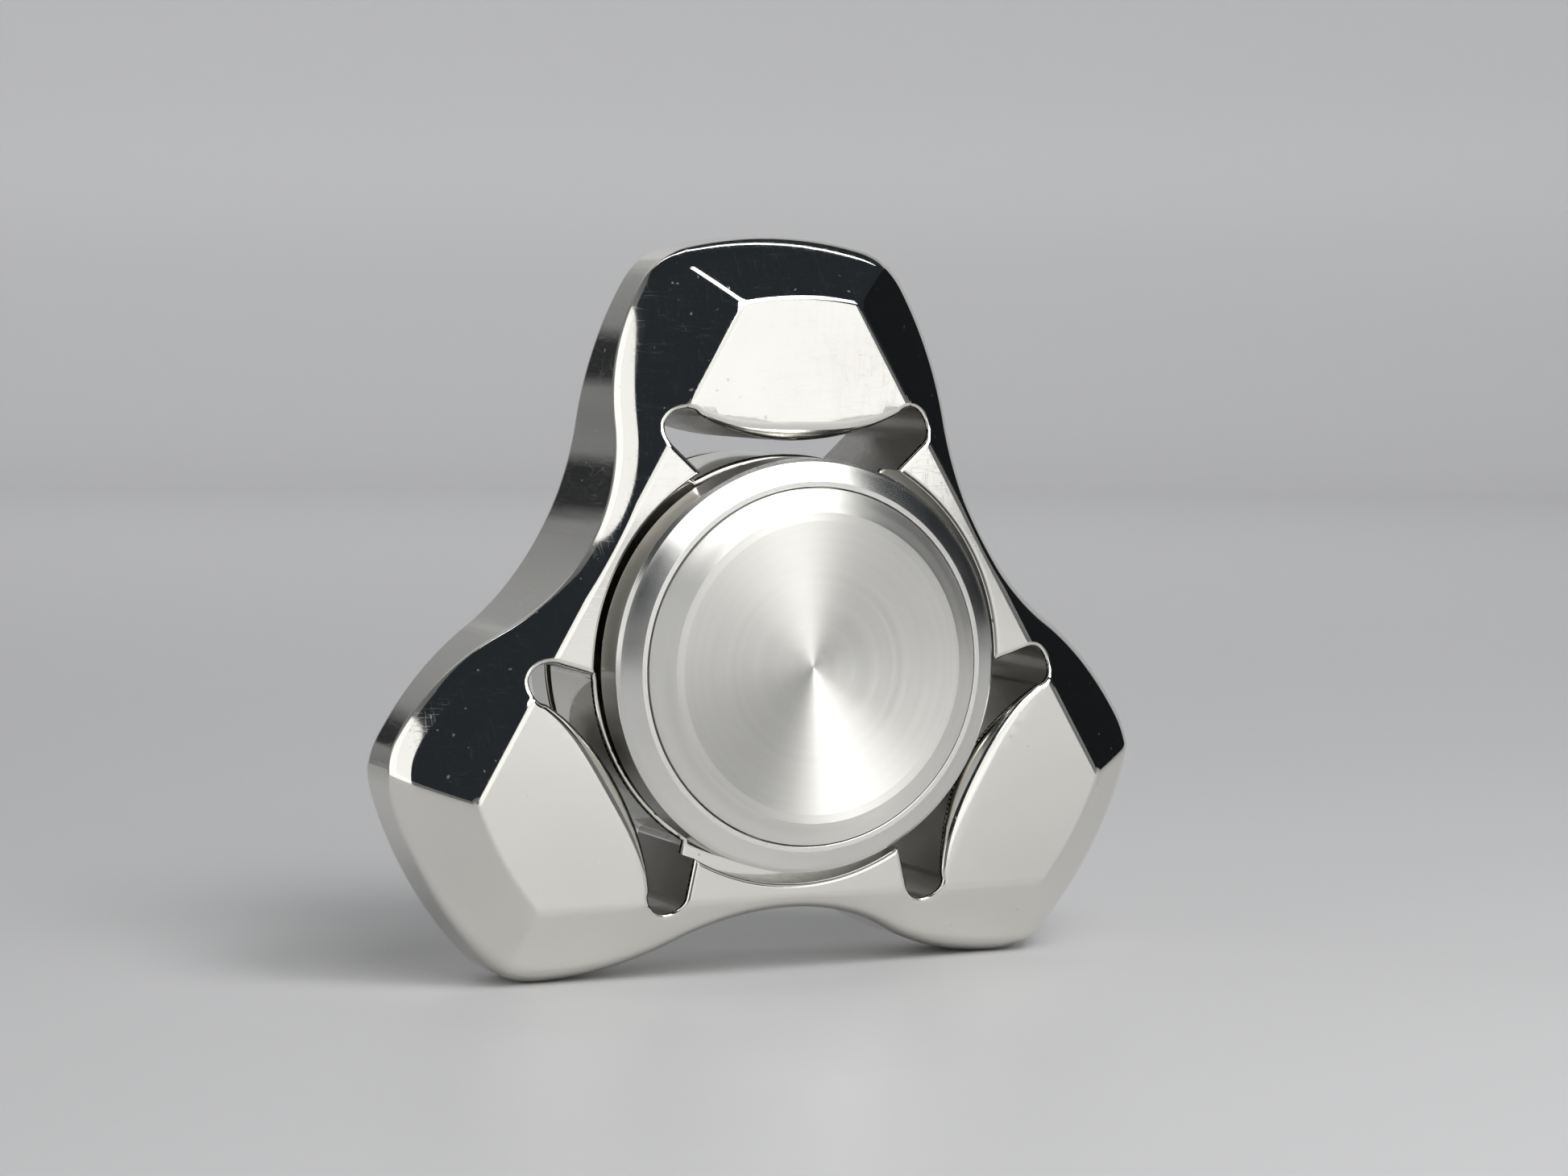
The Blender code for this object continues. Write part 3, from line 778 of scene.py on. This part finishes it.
def plain_steel(name, colour, low, high, scale):
    """Pressed, ground or blackened steel with a fine even grain."""
    nodes = Nodes(name, colour, low)
    place = nodes.place()
    grain = nodes.noise(place, scale, 5.0)
    nodes.join("Roughness", nodes.remap(grain, NOISE_SPAN, (low, high)))
    nodes.join("Normal", nodes.bump(grain, strength=0.08, distance=0.00002))
    patches = nodes.noise(place, scale / 5, 3.0)
    two_tones(nodes, patches, scaled(colour, 1.08), scaled(colour, 0.9))
    return nodes.material


def paint(obj, material):
    obj.data.materials.clear()
    obj.data.materials.append(material)


# ---- Stage: floor, backdrop, lights and camera, in metres ----------------------------------
FLOOR = CAD_BOX[0].z
SWEEP_REACH = 0.75                # from the spinner to the wall
SWEEP_BEND = 0.12                 # radius with which the floor turns up into the wall
SWEEP_STEPS = 96
BEND_STEPS = 8
FLOOR_RINGS = (0.0, 0.15, 0.35)
WALL_LOW = 0.17                   # wall height in front
WALL_RISE = 0.50                  # added to it behind
RISE_START = 0.60                 # share of the way to the back where the wall starts to rise
RISE_LENGTH = 0.15
PAPER = (0.62, 0.62, 0.625)
SCREEN_BLACK = (0.015, 0.017, 0.02)
DARK_ROOM = (0.020, 0.025, 0.030)
CAMERA_PLACE = (-0.09813, -0.21490, 0.02113)
CAMERA_TURN = (85.906, -0.352, -24.869)


def build_stage():
    """Pale floor that sweeps up into a wall all round, high behind and low in front."""
    flat_reach = SWEEP_REACH - SWEEP_BEND
    profile = [(r, 0.0) for r in FLOOR_RINGS + (flat_reach,)]
    profile += [(flat_reach + SWEEP_BEND * math.sin(t), SWEEP_BEND - SWEEP_BEND * math.cos(t))
                for t in np.linspace(0, math.pi / 2, BEND_STEPS + 1)[1:]]
    points = []
    faces = []
    rows = len(profile) + 1
    for k in range(SWEEP_STEPS):
        angle = math.tau * k / SWEEP_STEPS
        behind = 0.5 + 0.5 * math.sin(angle)
        rise = max(0.0, min(1.0, (behind - RISE_START) / RISE_LENGTH))
        for r, h in profile + [(SWEEP_REACH, WALL_LOW + WALL_RISE * rise)]:
            points.append((r * math.cos(angle), r * math.sin(angle), FLOOR + h))
    for k in range(SWEEP_STEPS):
        a, b = k * rows, (k + 1) % SWEEP_STEPS * rows
        for i in range(rows - 1):
            faces.append((a + i, a + i + 1, b + i + 1, b + i))
    mesh = bpy.data.meshes.new("studio_sweep")
    mesh.from_pydata(points, [], faces)
    mesh.shade_smooth()
    sweep = bpy.data.objects.new("studio_sweep", mesh)
    bpy.context.scene.collection.objects.link(sweep)
    nodes = Nodes("studio_paper", PAPER, 0.45, metallic=0.0)
    tooth = nodes.noise(nodes.place(), 900.0, 4.0)
    nodes.join("Normal", nodes.bump(tooth, strength=0.05, distance=0.0002))
    nodes.shader.inputs["Specular IOR Level"].default_value = 0.35
    sweep.data.materials.append(nodes.material)


def direction(azimuth, elevation):
    """Unit direction; azimuth 0 is in front of the spinner and 90 to its right."""
    a, e = math.radians(azimuth), math.radians(elevation)
    return Vector((math.sin(a) * math.cos(e), -math.cos(a) * math.cos(e), math.sin(e)))


def softbox(name, place, target, width, height, radiance):
    """Rectangular light of an even brightness at a place, aimed at a target."""
    light = bpy.data.lights.new(name, "AREA")
    light.shape = "RECTANGLE"
    light.size = width
    light.size_y = height
    light.energy = radiance * math.pi * width * height
    obj = bpy.data.objects.new(name, light)
    obj.location = place
    obj.rotation_euler = (place - target).to_track_quat("Z", "Y").to_euler()
    bpy.context.scene.collection.objects.link(obj)


def build_flag(name, middle, width, height, soft, darkness=1.0):
    """Dark screen that only reflections see, with soft ragged edges. It stands in for the
    dark parts of a room; the camera doesn't see it and it casts no shadow."""
    bm = bmesh.new()
    bmesh.ops.create_grid(bm, x_segments=8, y_segments=8, size=0.5)
    for v in bm.verts:
        v.co.x *= width
        v.co.y *= height
    mesh = bpy.data.meshes.new(name)
    bm.to_mesh(mesh)
    bm.free()
    flag = bpy.data.objects.new(name, mesh)
    flag.location = middle
    flag.rotation_euler = middle.to_track_quat("Z", "Y").to_euler()
    bpy.context.scene.collection.objects.link(flag)
    flag.visible_camera = False
    flag.visible_diffuse = False
    flag.visible_shadow = False
    nodes = Nodes(name, SCREEN_BLACK, 0.9, metallic=0.0)
    nodes.shader.inputs["Specular IOR Level"].default_value = 0.0
    place = nodes.place()
    split = nodes.add("ShaderNodeSeparateXYZ", {"Vector": place})
    margins = [nodes.math("SUBTRACT", size / 2, nodes.math("ABSOLUTE", split.outputs[axis]))
               for axis, size in (("X", width), ("Y", height))]
    to_edge = nodes.math("MINIMUM", *margins)
    ragged = nodes.math("MULTIPLY", nodes.noise(place, 60.0, 3.0), soft)
    inner = nodes.math("SUBTRACT", to_edge, ragged)
    nodes.join("Alpha", nodes.remap(inner, (-0.3 * soft, 0.7 * soft), (0.0, darkness)))
    paint(flag, nodes.material)


def build_lights():
    """Large window in front, softboxes above and to the left, light on floor and backdrop."""
    origin = Vector((0, 0, 0))
    key = 0.46 * direction(4, 0)
    key.z = FLOOR + 0.311
    softbox("key_window", key, Vector((0, 0, key.z)), width=0.42, height=0.62, radiance=1.06)
    softbox("brow", 0.5 * direction(1, 43), origin, width=0.36, height=0.29, radiance=2.1)
    softbox("brow_right", 0.5 * direction(37, 44), origin, width=0.20, height=0.25, radiance=1.9)
    softbox("left_strip", 0.5 * direction(-98, 16), origin, width=0.72, height=0.36, radiance=1.1)
    softbox("ceiling", 0.6 * direction(-6, 61), origin, width=0.20, height=0.08, radiance=4.5)
    pool = 0.20 * direction(26, 0)
    softbox("floor_pool", pool + Vector((0, 0, 0.22)), pool + Vector((0, 0, FLOOR)),
            width=0.12, height=0.12, radiance=8.0)
    softbox("backdrop_light", Vector((0.10, 0.30, 0.50)), Vector((0.34, 0.66, 0.12)),
            width=0.7, height=0.2, radiance=4.1)
    world = bpy.data.worlds.new("dark_room")
    bpy.context.scene.world = world
    world.use_nodes = True
    background = world.node_tree.nodes["Background"]
    background.inputs["Color"].default_value = (*DARK_ROOM, 1)
    background.inputs["Strength"].default_value = 1.0


def build_camera():
    """Camera at the photograph's viewing angle."""
    data = bpy.data.cameras.new("camera")
    data.sensor_width = 36.0
    data.lens = 88.53
    data.clip_start = 0.01
    camera = bpy.data.objects.new("camera", data)
    camera.location = CAMERA_PLACE
    camera.rotation_euler = [math.radians(a) for a in CAMERA_TURN]
    bpy.context.scene.collection.objects.link(camera)
    bpy.context.scene.camera = camera


def main():
    body = build_frame()
    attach(body, "rotor")
    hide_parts("rotor_body")
    body.data.materials.append(polished_steel())
    # Milled steel colour is darkened to about half the polished colour: painted shade in the slots
    # and the recess. Its higher roughness is the real milled finish.
    milled_and_shaded = plain_steel("milled_steel_painted_shade", (0.40, 0.39, 0.365), low=0.28, high=0.40, scale=3000.0)
    body.data.materials.append(milled_and_shaded)

    rim = turned_steel("turned_rim", (0.80, 0.79, 0.76), roughness=0.24, anisotropy=0.5,
                       grain_strength=0.06)
    dish = turned_steel("turned_dish", (0.80, 0.79, 0.75), roughness=0.42, anisotropy=0.88,
                        grain_strength=0.30)
    for obj, kind in build_buttons():
        paint(obj, dish if kind == "button_dish" else rim)

    ground = plain_steel("ground_bearing_steel", (0.66, 0.67, 0.68), low=0.10, high=0.18,
                         scale=4000.0)
    pressed = plain_steel("pressed_steel", (0.60, 0.60, 0.60), low=0.28, high=0.42,
                          scale=2500.0)
    black = plain_steel("black_oxide_steel", (0.23, 0.23, 0.24), low=0.32, high=0.48,
                        scale=3000.0)
    finishes = {"bearing_steel": ground, "pressed_steel": pressed, "dark_steel": black}
    slots = {row["node"]: row["material_slot"] for row in frame["record"]["subparts"]}
    for name, node in frame["nodes"].items():
        if not node.hide_render:
            paint(node, finishes[slots[name]])

    build_stage()
    build_flag("flag_behind", 0.5 * direction(-161, 11), width=0.13, height=0.10, soft=0.022,
               darkness=0.9)
    build_flag("flag_left_rear", 0.52 * direction(-165, 10), width=0.40, height=0.36, soft=0.04,
               darkness=0.45)
    build_flag("flag_right", 0.5 * direction(92, 14), width=0.40, height=0.24, soft=0.01)
    build_lights()
    build_camera()
    bpy.context.scene.view_settings.view_transform = "Standard"


main()
